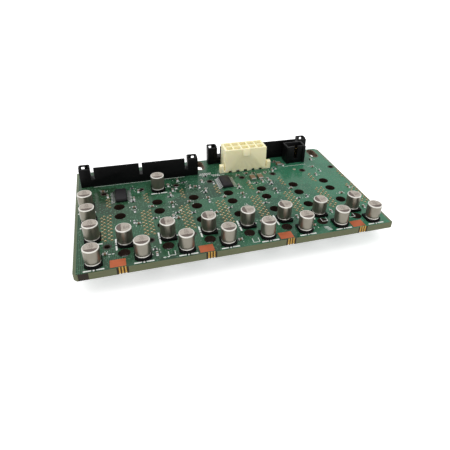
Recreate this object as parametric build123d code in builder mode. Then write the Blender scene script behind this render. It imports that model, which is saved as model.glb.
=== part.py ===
from build123d import *
from math import atan, degrees
import os

# Drive backplane board for eight drive bays, in millimetres.
# The origin lies under the middle of the board, on the plane of the drive
# receptacles' mating faces: +X to the right, +Y to the rear, +Z up.
# Insets are measured from the board's left and front edges, and those of the
# mounting slots from the edges that they are named for.

# Board
board_width = 135.0
board_depth = 78.2
board_thickness = 3.2
front_corner_cut = 1.2
rear_corner_cut = 2.0
slot_width = 4.0
slot_length = 9.4
left_slot_left_inset = 62.3
right_slot_right_inset = 5.6
slot_rear_inset = 5.9

# Drive bays and their airflow holes
bay_pitch = 17.1
first_bay_inset = 12.6
airflow_diameter = 4.8
airflow_offset = 6.2
airflow_row_insets = [8.3, 23.0, 34.15, 41.6]

# Sides of what is round and repeats: many for airflow holes and cans, few for
# the small pegs and their holes
round_sides = 20
peg_sides = 8

# Drive receptacles under the board
receptacle_height = 8.0
receptacle_width = 5.2
flange_height = 2.4
waist_width = 4.4
guide_length = 3.4
guide_chamfer = 0.9
front_peg_inset = 13.7
peg_spacing = 40.9
peg_end_margin = 2.2
peg_hole_diameter = 2.3
peg_clearance = 0.1
peg_length = 2.2
contact_pitch = 1.27
power_contacts = 15
signal_contacts = 7
segment_gap = 6.35
power_segment_inset = 18.3
key_slot_width = 1.4
key_slot_depth = 5.4
key_slot_end = 1.5
key_leg_reach = 1.2
key_leg_width = 1.3
contact_width = 0.7
contact_thickness = 0.35
contact_clearance = 0.05
contact_recess = 1.2

# Aluminium capacitors
can_diameter = 6.3
can_length = 6.9
can_neck_height = 0.8
can_neck_depth = 0.3
can_shoulder_rise = 0.6
base_side = 6.6
base_height = 1.1
base_corner_cut = 1.5
front_row_inset = 4.6
front_row_offset = -4.0
front_row_end_offset = -5.2
second_row_inset = 14.25
second_row_offset = 7.1
side_column_places = [(7.2, 19.9), (5.9, 32.4), (5.0, 43.8)]
rear_place = (37.8, 52.9)

# Data connectors
data_length = 57.3
data_depth = 4.7
data_base_height = 3.8
data_height = 10.0
post_width = 5.1
post_gap = 1.6
post_chamfer = 0.6
blade_gap = 1.4
blade_thickness = 1.1
blade_lead_in = 0.3
post_front_wall = 1.2
post_pocket_width = 3.6
post_pocket_bottom = 5.6
post_rear_wall = 1.0
post_window_width = 1.5
post_window_height = 1.5
post_window_cover = 0.7
post_window_offset = 0.6
post_front_height = 9.4
left_data_insets = (2.4, 62.9)
right_data_insets = (67.3, 72.5)

# Power connector
circuit_pitch = 4.2
power_length = 22.4
power_depth = 9.6
power_height = 12.8
power_left_inset = 73.9
power_front_inset = 61.2
cavity_side = 3.5
cavity_depth = 9.2
latch_width = 3.7
latch_reach = 1.1
latch_drop = 3.5
drain_width = 1.8
drain_height = 0.9
drain_depth = 4.0
ear_width = 2.1
ear_depth = 2.2
ear_height = 4.4
ear_chamfer = 0.5
ear_neck_height = 0.9
ear_gap = 0.7
power_pin_side = 1.1
power_pin_tip_inset = 3.2

# Box header
header_length = 10.8
header_depth = 6.4
header_height = 9.8
header_left_inset = 109.4
header_front_inset = 64.0
header_wall = 0.9
header_floor = 1.6
header_key_width = 2.0
header_key_bottom = 2.6
header_rail_width = 1.6
header_rail_reach = 0.7
header_pin_pitch = 2.0
header_pin_columns = 4
header_pin_rows = 2
header_pin_side = 0.5
header_pin_length = 6.2

# Driver chips
chip_length = 10.2
chip_width = 5.3
chip_height = 1.8
chip_standoff = 0.15
chip_draft_inset = 0.35
chip_lead_span = 7.8
chip_leads_per_side = 8
chip_lead_pitch = 1.27
chip_lead_width = 0.42
chip_lead_thickness = 0.2
left_chip_place = (20.2, 50.3)
right_chip_place = (71.4, 51.2)

# Ceramic chip capacitors
ceramic_width = 2.5
ceramic_height = 1.3
ceramic_end = 0.5
ceramic_places = [(86.2, 52.3), (90.2, 52.3), (104.9, 63.6)]
ceramic_lengths = [4.5, 4.5, 3.2]

# Heights that everything seats on
board_bottom = receptacle_height
board_top = board_bottom + board_thickness


def from_left(inset):
    """X of a place measured from the board's left edge."""
    return inset - board_width / 2


def from_front(inset):
    """Y of a place measured from the board's front edge."""
    return inset - board_depth / 2


# As many bays as the board has room for
last_bay_limit = board_width - receptacle_width / 2
bay_count = int((last_bay_limit - first_bay_inset) // bay_pitch) + 1
bay_centres = [from_left(first_bay_inset + bay * bay_pitch) for bay in range(bay_count)]
front_peg_y = from_front(front_peg_inset)
rear_peg_y = front_peg_y + peg_spacing

os.makedirs("parts", exist_ok=True)

# Board: a plate with a cut corner at front left and rear right
airflow_centres = [
    (centre + airflow_offset, from_front(inset))
    for centre in bay_centres[:-1]
    for inset in airflow_row_insets
]
peg_centres = [(x, y) for x in bay_centres for y in (front_peg_y, rear_peg_y)]
mounting_slot_centres = [
    (from_left(left_slot_left_inset), board_depth / 2 - slot_rear_inset),
    (board_width / 2 - right_slot_right_inset, board_depth / 2 - slot_rear_inset),
]

with BuildPart() as board:
    with BuildSketch(Plane.XY.offset(board_bottom)):
        outline = Rectangle(board_width, board_depth)
        corners = outline.vertices()
        front_left_corner = corners.sort_by(Axis.Y)[:2].sort_by(Axis.X)[0]
        chamfer(front_left_corner, length=front_corner_cut)
        rear_right_corner = corners.sort_by(Axis.Y)[-2:].sort_by(Axis.X)[-1]
        chamfer(rear_right_corner, length=rear_corner_cut)
        with Locations(*airflow_centres):
            RegularPolygon(airflow_diameter / 2, round_sides, mode=Mode.SUBTRACT)
        with Locations(*peg_centres):
            RegularPolygon(peg_hole_diameter / 2, peg_sides, mode=Mode.SUBTRACT)
        with Locations(*mounting_slot_centres):
            SlotOverall(slot_length, slot_width, rotation=90, mode=Mode.SUBTRACT)
    extrude(amount=board_thickness)
board.part.label = "board"
export_step(board.part, "parts/board.step")

# Drive receptacles: one under each bay, with an L-shaped key slot for the
# power segment and one for the signal segment, and a peg at each end that
# sits in the board
receptacle_length = peg_spacing + 2 * peg_end_margin
receptacle_y = (front_peg_y + rear_peg_y) / 2
power_span = (power_contacts - 1) * contact_pitch
signal_span = (signal_contacts - 1) * contact_pitch
power_segment_y = from_front(power_segment_inset) + power_span / 2
signal_segment_y = power_segment_y + power_span / 2 + segment_gap + signal_span / 2
power_slot_length = power_span + 2 * key_slot_end
signal_slot_length = signal_span + 2 * key_slot_end
power_leg_y = power_segment_y + (power_slot_length - key_leg_width) / 2
signal_leg_y = signal_segment_y - (signal_slot_length - key_leg_width) / 2
side_relief = (receptacle_width - waist_width) / 2
relief_length = receptacle_length - 2 * guide_length
channel_width = contact_thickness + 2 * contact_clearance
channel_x = (channel_width - key_slot_width) / 2
peg_radius = peg_hole_diameter / 2 - peg_clearance

for bay, centre in enumerate(bay_centres, start=1):
    with BuildPart() as drive_receptacle:
        with BuildSketch():
            with Locations((centre, receptacle_y)):
                Rectangle(receptacle_width, receptacle_length)
        extrude(amount=receptacle_height)
        mating_face = drive_receptacle.faces().sort_by(Axis.Z)[0]
        guide_edges = mating_face.edges().sort_by(Axis.Y)
        chamfer([guide_edges[0], guide_edges[-1]], length=guide_chamfer)
        with BuildSketch():
            for side in (-1, 1):
                with Locations((centre + side * (receptacle_width - side_relief) / 2, receptacle_y)):
                    Rectangle(side_relief, relief_length)
        extrude(amount=receptacle_height - flange_height, mode=Mode.SUBTRACT)
        with BuildSketch():
            with Locations((centre, power_segment_y)):
                Rectangle(key_slot_width, power_slot_length)
            with Locations((centre, signal_segment_y)):
                Rectangle(key_slot_width, signal_slot_length)
            for leg_y in (power_leg_y, signal_leg_y):
                with Locations((centre + key_slot_width / 2, leg_y)):
                    Rectangle(2 * key_leg_reach, key_leg_width)
        extrude(amount=key_slot_depth, mode=Mode.SUBTRACT)
        with BuildSketch(Plane.XY.offset(key_slot_depth)):
            with Locations((centre + channel_x, power_segment_y)):
                Rectangle(channel_width, power_span + contact_width + 2 * contact_clearance)
            with Locations((centre + channel_x, signal_segment_y)):
                Rectangle(channel_width, signal_span + contact_width + 2 * contact_clearance)
        extrude(amount=receptacle_height - key_slot_depth, mode=Mode.SUBTRACT)
        with BuildSketch(Plane.XY.offset(receptacle_height)):
            with Locations((centre, front_peg_y), (centre, rear_peg_y)):
                RegularPolygon(peg_radius, peg_sides)
        extrude(amount=peg_length)
    drive_receptacle.part.label = f"drive_receptacle_{bay}"
    export_step(drive_receptacle.part, f"parts/drive_receptacle_{bay}.step")

# Drive contacts: flat blades along one wall of each key slot, up to the board
for bay, centre in enumerate(bay_centres, start=1):
    with BuildPart() as drive_contacts:
        with BuildSketch(Plane.XY.offset(contact_recess)):
            with Locations((centre + channel_x, power_segment_y)):
                with GridLocations(contact_pitch, contact_pitch, 1, power_contacts):
                    Rectangle(contact_thickness, contact_width)
            with Locations((centre + channel_x, signal_segment_y)):
                with GridLocations(contact_pitch, contact_pitch, 1, signal_contacts):
                    Rectangle(contact_thickness, contact_width)
        extrude(amount=board_bottom - contact_recess)
    drive_contacts.part.label = f"drive_contacts_{bay}"
    export_step(drive_contacts.part, f"parts/drive_contacts_{bay}.step")

# Aluminium capacitors: a can crimped to a neck above its foot, on a square
# base with two cut corners. The front row's cut corners face forward, the
# second row's face left
front_row_y = from_front(front_row_inset)
front_row = [(centre + front_row_offset, front_row_y) for centre in bay_centres[1:-1]]
front_row.append((bay_centres[0] + front_row_end_offset, front_row_y))
front_row.append((bay_centres[-1] + front_row_end_offset, front_row_y))
second_row_y = from_front(second_row_inset)
second_row = [(centre + second_row_offset, second_row_y) for centre in bay_centres[:-1]]
side_column = [(from_left(x), from_front(y)) for x, y in side_column_places]
rear_spot = [(from_left(rear_place[0]), from_front(rear_place[1]))]
base_half = base_side / 2
can_bottom = board_top + base_height
foot_taper = degrees(atan(can_neck_depth / can_neck_height))

for group, (places, turn) in {
    "front_row": (sorted(front_row), 0),
    "second_row": (second_row, -90),
    "side_column": (side_column, 0),
    "rear": (rear_spot, 0),
}.items():
    base_planes = [Plane(Location((x, y, board_top), (0, 0, turn))) for x, y in places]
    with BuildPart() as capacitor_bases:
        with BuildSketch(*base_planes):
            with BuildLine():
                Polyline(
                    (-base_half, base_half),
                    (-base_half, base_corner_cut - base_half),
                    (base_corner_cut - base_half, -base_half),
                    (base_half - base_corner_cut, -base_half),
                    (base_half, base_corner_cut - base_half),
                    (base_half, base_half),
                    close=True,
                )
            make_face()
        extrude(amount=base_height)
    capacitor_bases.part.label = f"{group}_capacitor_bases"
    export_step(capacitor_bases.part, f"parts/{group}_capacitor_bases.step")

    for number, (x, y) in enumerate(places, start=1):
        foot_plane = Plane((x, y, can_bottom))
        with BuildPart() as capacitor_can:
            with BuildSketch(foot_plane.offset(can_neck_height)):
                RegularPolygon(can_diameter / 2, round_sides)
            extrude(amount=can_length - can_neck_height)
            neck = capacitor_can.faces().sort_by(Axis.Z)[0]
            chamfer(neck.edges(), length=can_neck_depth, length2=can_shoulder_rise, reference=neck)
            with BuildSketch(foot_plane):
                RegularPolygon(can_diameter / 2, round_sides)
            extrude(amount=can_neck_height, taper=foot_taper)
        capacitor_can.part.label = f"{group}_capacitor_can_{number}"
        export_step(capacitor_can.part, f"parts/{group}_capacitor_can_{number}.step")

# Data connectors: a low base that carries two upright blades between two
# latch posts; each post is open at the top and has a latch window at the
# rear, nearer to the connector's end
blade_run = data_length - 2 * post_width - 2 * post_gap - blade_gap
blade_length = blade_run / 2
window_top = data_height - post_window_cover

for name, (left_inset, front_inset) in {
    "data_connector_left": left_data_insets,
    "data_connector_right": right_data_insets,
}.items():
    middle_x = from_left(left_inset) + data_length / 2
    front_y = from_front(front_inset)
    post_centres = [middle_x + side * (data_length - post_width) / 2 for side in (-1, 1)]
    window_centres = [post_centres[0] - post_window_offset, post_centres[1] + post_window_offset]
    blade_centres = [middle_x + side * (blade_gap + blade_length) / 2 for side in (-1, 1)]
    with BuildPart() as data_connector:
        with BuildSketch(Plane.XY.offset(board_top)):
            with Locations((middle_x, front_y + data_depth / 2)):
                Rectangle(data_length, data_depth)
        extrude(amount=data_base_height)
        with BuildSketch(Plane.XY.offset(board_top + data_base_height)):
            for x in post_centres:
                with Locations((x, front_y + data_depth / 2)):
                    Rectangle(post_width, data_depth)
        extrude(amount=data_height - data_base_height)
        rear_edges = data_connector.edges().filter_by(Axis.Z).group_by(Axis.Y)[-1]
        chamfer(rear_edges, length=post_chamfer)
        with BuildSketch(Plane.XY.offset(board_top + data_base_height)):
            for x in blade_centres:
                with Locations((x, front_y + blade_thickness / 2)):
                    Rectangle(blade_length, blade_thickness)
        extrude(amount=data_height - data_base_height)
        blade_tops = data_connector.faces().group_by(Axis.Z)[-1].sort_by(SortBy.AREA)[:2]
        lead_in_edges = [top.edges().sort_by(Axis.Y)[-1] for top in blade_tops]
        chamfer(lead_in_edges, length=blade_lead_in)
        pocket_depth = data_depth - post_front_wall - post_rear_wall
        with BuildSketch(Plane.XY.offset(board_top + data_height)):
            for x in post_centres:
                with Locations((x, front_y + post_front_wall + pocket_depth / 2)):
                    Rectangle(post_pocket_width, pocket_depth)
        extrude(amount=-(data_height - post_pocket_bottom), mode=Mode.SUBTRACT)
        with BuildSketch(Plane.XY.offset(board_top + data_height)):
            for x in post_centres:
                with Locations((x, front_y + post_front_wall / 2)):
                    Rectangle(post_width, post_front_wall)
        extrude(amount=-(data_height - post_front_height), mode=Mode.SUBTRACT)
        with BuildSketch(Plane.XZ.offset(-(front_y + data_depth))):
            for x in window_centres:
                with Locations((x, board_top + window_top - post_window_height / 2)):
                    Rectangle(post_window_width, post_window_height)
        extrude(amount=post_rear_wall, mode=Mode.SUBTRACT)
    data_connector.part.label = name
    export_step(data_connector.part, f"parts/{name}.step")

# Power connector: a moulded block with a grid of deep cavities, a latch ramp
# on its front wall, drain notches along its foot and an ear at each end that
# stands off on a low neck
power_middle_x = from_left(power_left_inset) + power_length / 2
power_front_y = from_front(power_front_inset)
power_middle_y = power_front_y + power_depth / 2
power_top = board_top + power_height

# As many circuits as the moulding has room for
power_columns = int(power_length // circuit_pitch)
power_rows = int(power_depth // circuit_pitch)

with BuildPart() as power_connector:
    with BuildSketch(Plane.XY.offset(board_top)):
        with Locations((power_middle_x, power_middle_y)):
            Rectangle(power_length, power_depth)
    extrude(amount=power_height)
    for side in (-1, 1):
        wall_x = power_middle_x + side * power_length / 2
        with BuildSketch(Plane.XY.offset(board_top)):
            with Locations((wall_x + side * (ear_gap + ear_width) / 2, power_front_y + ear_depth / 2)):
                Rectangle(ear_gap + ear_width, ear_depth)
        extrude(amount=ear_neck_height)
        with BuildSketch(Plane.XY.offset(board_top)):
            with Locations((wall_x + side * (ear_gap + ear_width / 2), power_front_y + ear_depth / 2)):
                Rectangle(ear_width, ear_depth)
        extrude(amount=ear_height)
    ear_tops = power_connector.faces().filter_by(Axis.Z).group_by(Axis.Z)[-2]
    chamfer([top.edges().sort_by(Axis.Y)[0] for top in ear_tops], length=ear_chamfer)
    with BuildSketch(Plane.XY.offset(power_top)):
        with Locations((power_middle_x, power_middle_y)):
            with GridLocations(circuit_pitch, circuit_pitch, power_columns, power_rows):
                Rectangle(cavity_side, cavity_side)
    extrude(amount=-cavity_depth, mode=Mode.SUBTRACT)
    with BuildSketch(Plane.XZ.offset(-power_front_y)):
        with Locations((power_middle_x, board_top + drain_height / 2)):
            with GridLocations(circuit_pitch, circuit_pitch, power_columns, 1):
                Rectangle(drain_width, drain_height)
    extrude(amount=-drain_depth, mode=Mode.SUBTRACT)
    with BuildSketch(Plane.YZ.offset(power_middle_x - latch_width / 2)):
        with BuildLine():
            Polyline(
                (power_front_y, power_top),
                (power_front_y - latch_reach, power_top - latch_drop),
                (power_front_y, power_top - latch_drop),
                close=True,
            )
        make_face()
    extrude(amount=latch_width)
power_connector.part.label = "power_connector"
export_step(power_connector.part, "parts/power_connector.step")

# Power pins: a square pin on the floor of each cavity
cavity_floor = power_top - cavity_depth
with BuildPart() as power_pins:
    with BuildSketch(Plane.XY.offset(cavity_floor)):
        with Locations((power_middle_x, power_middle_y)):
            with GridLocations(circuit_pitch, circuit_pitch, power_columns, power_rows):
                Rectangle(power_pin_side, power_pin_side)
    extrude(amount=cavity_depth - power_pin_tip_inset)
power_pins.part.label = "power_pins"
export_step(power_pins.part, "parts/power_pins.step")

# Box header: an open shroud with a key slot in its front wall
header_middle_x = from_left(header_left_inset) + header_length / 2
header_front_y = from_front(header_front_inset)
header_middle_y = header_front_y + header_depth / 2

with BuildPart() as box_header:
    with BuildSketch(Plane.XY.offset(board_top)):
        with Locations((header_middle_x, header_middle_y)):
            Rectangle(header_length, header_depth)
        for side in (-1, 1):
            rail_x = header_middle_x + side * (header_length - header_rail_width) / 2
            with Locations((rail_x, header_front_y - header_rail_reach / 2)):
                Rectangle(header_rail_width, header_rail_reach)
    extrude(amount=header_height)
    with BuildSketch(Plane.XY.offset(board_top + header_floor)):
        with Locations((header_middle_x, header_middle_y)):
            Rectangle(header_length - 2 * header_wall, header_depth - 2 * header_wall)
    extrude(amount=header_height - header_floor, mode=Mode.SUBTRACT)
    with BuildSketch(Plane.XY.offset(board_top + header_key_bottom)):
        with Locations((header_middle_x, header_front_y + header_wall / 2)):
            Rectangle(header_key_width, header_wall)
    extrude(amount=header_height - header_key_bottom, mode=Mode.SUBTRACT)
box_header.part.label = "box_header"
export_step(box_header.part, "parts/box_header.step")

with BuildPart() as header_pins:
    with BuildSketch(Plane.XY.offset(board_top + header_floor)):
        with Locations((header_middle_x, header_middle_y)):
            with GridLocations(header_pin_pitch, header_pin_pitch, header_pin_columns, header_pin_rows):
                Rectangle(header_pin_side, header_pin_side)
    extrude(amount=header_pin_length)
header_pins.part.label = "header_pins"
export_step(header_pins.part, "parts/header_pins.step")

# Driver chips: a drafted moulded body with a row of sloping leads each side
chip_waist = board_top + chip_standoff + (chip_height - chip_standoff) / 2
lead_row_length = (chip_leads_per_side - 1) * chip_lead_pitch

for name, place in {"left_chip": left_chip_place, "right_chip": right_chip_place}.items():
    chip_x = from_left(place[0])
    chip_y = from_front(place[1])
    with BuildPart() as chip_body:
        for end in (board_top + chip_standoff, board_top + chip_height):
            with BuildSketch(Plane.XY.offset(chip_waist)):
                with Locations((chip_x, chip_y)):
                    Rectangle(chip_width, chip_length)
            with BuildSketch(Plane.XY.offset(end)):
                with Locations((chip_x, chip_y)):
                    Rectangle(chip_width - 2 * chip_draft_inset, chip_length - 2 * chip_draft_inset)
            loft()
    chip_body.part.label = f"{name}_body"
    export_step(chip_body.part, f"parts/{name}_body.step")

    lead_planes = [
        Plane.XZ.offset(lead_row_length / 2 - chip_y - lead * chip_lead_pitch + chip_lead_width / 2)
        for lead in range(chip_leads_per_side)
    ]
    with BuildPart() as chip_leads:
        with BuildSketch(*lead_planes):
            for side in (-1, 1):
                body_x = chip_x + side * chip_width / 2
                foot_x = chip_x + side * chip_lead_span / 2
                with BuildLine():
                    Polyline(
                        (body_x, chip_waist),
                        (foot_x, board_top + chip_lead_thickness),
                        (foot_x, board_top),
                        (body_x, chip_waist - chip_lead_thickness),
                        close=True,
                    )
                make_face()
        extrude(amount=-chip_lead_width)
    chip_leads.part.label = f"{name}_leads"
    export_step(chip_leads.part, f"parts/{name}_leads.step")

# Ceramic chip capacitors: a body between two metal end caps
ceramics = [
    (from_left(x), from_front(y), length)
    for (x, y), length in zip(ceramic_places, ceramic_lengths)
]

with BuildPart() as ceramic_bodies:
    with BuildSketch(Plane.XY.offset(board_top)):
        for x, y, length in ceramics:
            with Locations((x, y)):
                Rectangle(ceramic_width, length - 2 * ceramic_end)
    extrude(amount=ceramic_height)
ceramic_bodies.part.label = "ceramic_bodies"
export_step(ceramic_bodies.part, "parts/ceramic_bodies.step")

with BuildPart() as ceramic_ends:
    with BuildSketch(Plane.XY.offset(board_top)):
        for x, y, length in ceramics:
            with Locations((x, y)):
                with GridLocations(ceramic_width, length - ceramic_end, 1, 2):
                    Rectangle(ceramic_width, ceramic_end)
    extrude(amount=ceramic_height)
ceramic_ends.part.label = "ceramic_ends"
export_step(ceramic_ends.part, "parts/ceramic_ends.step")
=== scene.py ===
import math
import random

import bpy
from mathutils import Matrix, Quaternion, Vector


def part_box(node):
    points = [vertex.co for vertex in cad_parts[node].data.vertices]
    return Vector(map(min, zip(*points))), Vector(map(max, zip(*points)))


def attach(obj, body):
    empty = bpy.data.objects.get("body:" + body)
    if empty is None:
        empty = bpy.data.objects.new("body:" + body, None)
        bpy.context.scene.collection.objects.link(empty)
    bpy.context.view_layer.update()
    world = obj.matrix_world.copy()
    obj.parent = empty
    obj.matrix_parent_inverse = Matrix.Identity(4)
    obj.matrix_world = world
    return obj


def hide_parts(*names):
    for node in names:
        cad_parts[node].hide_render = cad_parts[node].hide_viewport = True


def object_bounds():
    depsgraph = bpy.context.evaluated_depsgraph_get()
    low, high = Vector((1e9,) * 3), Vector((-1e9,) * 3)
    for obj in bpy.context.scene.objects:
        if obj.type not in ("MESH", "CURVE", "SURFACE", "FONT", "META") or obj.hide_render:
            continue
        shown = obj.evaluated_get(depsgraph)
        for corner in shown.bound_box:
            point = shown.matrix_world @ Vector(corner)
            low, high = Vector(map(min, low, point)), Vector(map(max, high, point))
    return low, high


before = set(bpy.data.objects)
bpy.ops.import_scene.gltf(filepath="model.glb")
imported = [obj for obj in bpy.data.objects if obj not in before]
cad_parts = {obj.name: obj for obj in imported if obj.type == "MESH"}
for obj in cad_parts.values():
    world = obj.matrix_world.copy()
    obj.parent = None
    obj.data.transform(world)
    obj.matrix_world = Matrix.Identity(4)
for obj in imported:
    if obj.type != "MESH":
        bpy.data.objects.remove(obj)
cad_low, cad_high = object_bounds()

# The room: a pale seamless floor under the board and soft studio light from
# above. Cameras and reflections see the room white, and the floor keeps a
# soft shadow. The floor's glow fades out under the board, a painted shade
# that keeps the floor dark there.
millimetre = 0.001
floor_side = 8.0
floor_colour = (0.86, 0.86, 0.86, 1.0)
floor_glow = 0.50
under_board_shade_limits = (-16.0, -9.0)
ambient_strength = 0.95
ambient_colour = (1.0, 1.0, 1.0, 1.0)
lamp_side = 0.9
lamp_place = (-0.25, 0.10, 1.0)
lamp_power = 2.4


def add_node(tree, kind, inputs=None, **settings):
    """A shader node with its settings, and its inputs as values or as other nodes' outputs."""
    made = tree.nodes.new(kind)
    for name, value in settings.items():
        setattr(made, name, value)
    for name, value in (inputs or {}).items():
        if isinstance(value, bpy.types.NodeSocket):
            tree.links.new(value, made.inputs[name])
        else:
            made.inputs[name].default_value = value
    return made


def arithmetic(tree, operation, first, second=0.0, third=0.0):
    """The result of one sum on values or sockets."""
    return add_node(
        tree, "ShaderNodeMath", {0: first, 1: second, 2: third}, operation=operation
    ).outputs[0]


def in_millimetres(tree):
    """The surface's own place on the object, in millimetres."""
    place = add_node(tree, "ShaderNodeTexCoord").outputs["Object"]
    return add_node(
        tree, "ShaderNodeVectorMath", {0: place, "Scale": 1 / millimetre}, operation="SCALE"
    ).outputs[0]


def seen_directly(tree):
    """One for rays from the camera, a mirror or clear glass, and nought for the light itself."""
    path = add_node(tree, "ShaderNodeLightPath").outputs
    mirrored = arithmetic(tree, "MAXIMUM", path["Is Camera Ray"], path["Is Glossy Ray"])
    return arithmetic(tree, "MAXIMUM", mirrored, path["Is Transmission Ray"])


bpy.ops.object.select_all(action="DESELECT")
bpy.ops.mesh.primitive_plane_add(size=floor_side, location=(0, 0, cad_low.z))
bpy.ops.object.transform_apply(location=True, rotation=True, scale=True)
floor = bpy.context.object
floor.name = "floor"
floor_finish = bpy.data.materials.new("pale_floor")
floor_finish.use_nodes = True
floor_tree = floor_finish.node_tree
floor_tree.nodes.clear()
floor_paint = add_node(floor_tree, "ShaderNodeBsdfDiffuse", {"Color": floor_colour})
floor_place = add_node(floor_tree, "ShaderNodeSeparateXYZ", {0: in_millimetres(floor_tree)})
past_sides = [
    arithmetic(
        floor_tree,
        "SUBTRACT",
        arithmetic(floor_tree, "ABSOLUTE", floor_place.outputs[axis]),
        limit / millimetre,
    )
    for axis, limit in (("X", cad_high.x), ("Y", cad_high.y))
]
past_edge = arithmetic(floor_tree, "MAXIMUM", *past_sides)
# Painted shade: the floor's glow is nought from 16 mm inside the board's outline and full from 9 mm
# inside it outward.
unshaded_floor = add_node(
    floor_tree, "ShaderNodeMapRange", {0: past_edge, 1: under_board_shade_limits[0], 2: under_board_shade_limits[1]}
)
glow = arithmetic(floor_tree, "MULTIPLY", unshaded_floor.outputs[0], floor_glow)
floor_light = add_node(floor_tree, "ShaderNodeEmission", {"Strength": glow})
floor_dark = add_node(floor_tree, "ShaderNodeEmission", {"Strength": 0.0})
floor_seen = add_node(
    floor_tree,
    "ShaderNodeMixShader",
    {0: seen_directly(floor_tree), 1: floor_dark.outputs[0], 2: floor_light.outputs[0]},
)
floor_sum = add_node(
    floor_tree, "ShaderNodeAddShader", {0: floor_paint.outputs[0], 1: floor_seen.outputs[0]}
)
add_node(floor_tree, "ShaderNodeOutputMaterial", {"Surface": floor_sum.outputs[0]})
floor.data.materials.append(floor_finish)

room = bpy.data.worlds.new("room")
bpy.context.scene.world = room
room.use_nodes = True
room_tree = room.node_tree
room_tree.nodes.clear()
room_light = add_node(
    room_tree, "ShaderNodeBackground", {"Color": ambient_colour, "Strength": ambient_strength}
)
room_white = add_node(
    room_tree, "ShaderNodeBackground", {"Color": ambient_colour, "Strength": 1.0}
)
room_mix = add_node(
    room_tree,
    "ShaderNodeMixShader",
    {0: seen_directly(room_tree), 1: room_light.outputs[0], 2: room_white.outputs[0]},
)
add_node(room_tree, "ShaderNodeOutputWorld", {"Surface": room_mix.outputs[0]})

bpy.ops.object.light_add(type="AREA", location=lamp_place)
lamp = bpy.context.object
lamp.name = "softbox"
lamp.data.shape = "SQUARE"
lamp.data.size = lamp_side
lamp.data.energy = lamp_power
lamp.rotation_mode = "QUATERNION"
lamp.rotation_quaternion = (-Vector(lamp_place)).to_track_quat("-Z", "Y")

# The camera: in front of the board's left end and above it, as the photograph
# was taken. Its shift only frames the board as the photograph does.
camera_place = (-0.04542, -0.16312, 0.11668)
camera_azimuth = -18.82
camera_elevation = 32.50
camera_roll = 2.54
camera_lens = 33.18
camera_shift = (-0.0431, -0.0534)

bpy.ops.object.camera_add(location=camera_place)
camera = bpy.context.object
camera.name = "camera"
camera.data.sensor_width = 36.0
camera.data.lens = camera_lens
camera.data.shift_x, camera.data.shift_y = camera_shift
camera.data.clip_start = 0.005
camera.data.clip_end = 20.0
azimuth, elevation = math.radians(camera_azimuth), math.radians(camera_elevation)
sight = Vector(
    (
        -math.sin(azimuth) * math.cos(elevation),
        math.cos(azimuth) * math.cos(elevation),
        -math.sin(elevation),
    )
)
camera.rotation_mode = "QUATERNION"
camera.rotation_quaternion = sight.to_track_quat("-Z", "Y") @ Quaternion(
    (0, 0, 1), math.radians(camera_roll)
)
bpy.context.scene.camera = camera
bpy.context.scene.view_settings.view_transform = "Standard"

# The board: a routed plate of glass laminate with copper layers, under a
# glossy green solder mask. It is drilled for airflow, for the receptacles'
# pegs and for two mounting slots, and plated half holes run down its front
# edge.
board_low, board_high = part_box("board")
board_top = board_high.z
board_middle = (board_low.z + board_high.z) / 2
board_thickness = board_high.z - board_low.z
bay_pitch = 17.1
first_bay_inset = 12.6
bay_count = 8
front_corner_cut = 1.2
rear_corner_cut = 2.0
airflow_diameter = 4.8
airflow_offset = 6.2
airflow_row_insets = (8.3, 23.0, 34.15, 41.6)
peg_hole_diameter = 2.3
peg_insets = (13.7, 54.6)
slot_insets = ((62.3, 72.3), (129.4, 72.3))
slot_width = 4.0
slot_stretch = 2.7
half_hole_bays = (0, 2, 4, 6)
half_hole_offsets = (3.82, 4.95, 6.08)
half_hole_diameter = 0.8
drill_length = 3 * board_thickness
drill_sides = 40
edge_plating_offsets = (2.75, 7.15)
front_left_dark_insets = (1.7, 5.4)
bare_strip = 1.1


def on_board(left, front):
    """A place from its insets, in millimetres, from the board's left and front edges."""
    return board_low.x + left * millimetre, board_low.y + front * millimetre


def bay_inset(bay, offset=0.0):
    """The left inset of a bay's centre, with an offset to the right of it."""
    return first_bay_inset + bay * bay_pitch + offset


def pick(piece, kind, chosen):
    """Opens a piece for editing with only the vertices, edges or faces that pass a test selected."""
    bpy.ops.object.mode_set(mode="EDIT")
    bpy.ops.mesh.select_mode(type=kind)
    bpy.ops.mesh.select_all(action="DESELECT")
    bpy.ops.object.mode_set(mode="OBJECT")
    mesh = piece.data
    items = {"VERT": mesh.vertices, "EDGE": mesh.edges, "FACE": mesh.polygons}[kind]
    for item in items:
        item.select = chosen(item)
    bpy.ops.object.mode_set(mode="EDIT")


def add_block(name, corner, far_corner):
    """A block between two opposite corners, left in object mode with its place in its mesh."""
    corner, far_corner = Vector(corner), Vector(far_corner)
    bpy.ops.object.select_all(action="DESELECT")
    bpy.ops.mesh.primitive_cube_add(size=1, location=(corner + far_corner) / 2)
    block = bpy.context.object
    block.name = name
    block.scale = [abs(span) for span in far_corner - corner]
    bpy.ops.object.transform_apply(location=True, rotation=True, scale=True)
    return block


def add_cylinder(x, y, middle, diameter, depth, sides):
    """An upright cylinder, left in object mode with its place in its mesh."""
    bpy.ops.object.select_all(action="DESELECT")
    bpy.ops.mesh.primitive_cylinder_add(
        vertices=sides, radius=diameter / 2 * millimetre, depth=depth, location=(x, y, middle)
    )
    bpy.ops.object.transform_apply(location=True, rotation=True, scale=True)
    return bpy.context.object


def choose(piece):
    """Makes a piece the only selected one, and the active one."""
    bpy.ops.object.select_all(action="DESELECT")
    piece.select_set(True)
    bpy.context.view_layer.objects.active = piece


def join_pieces(name, pieces):
    """Several pieces joined into one, which takes the name."""
    bpy.ops.object.select_all(action="DESELECT")
    for piece in pieces:
        piece.select_set(True)
    bpy.context.view_layer.objects.active = pieces[0]
    bpy.ops.object.join()
    bpy.context.object.name = name
    return bpy.context.object


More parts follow.
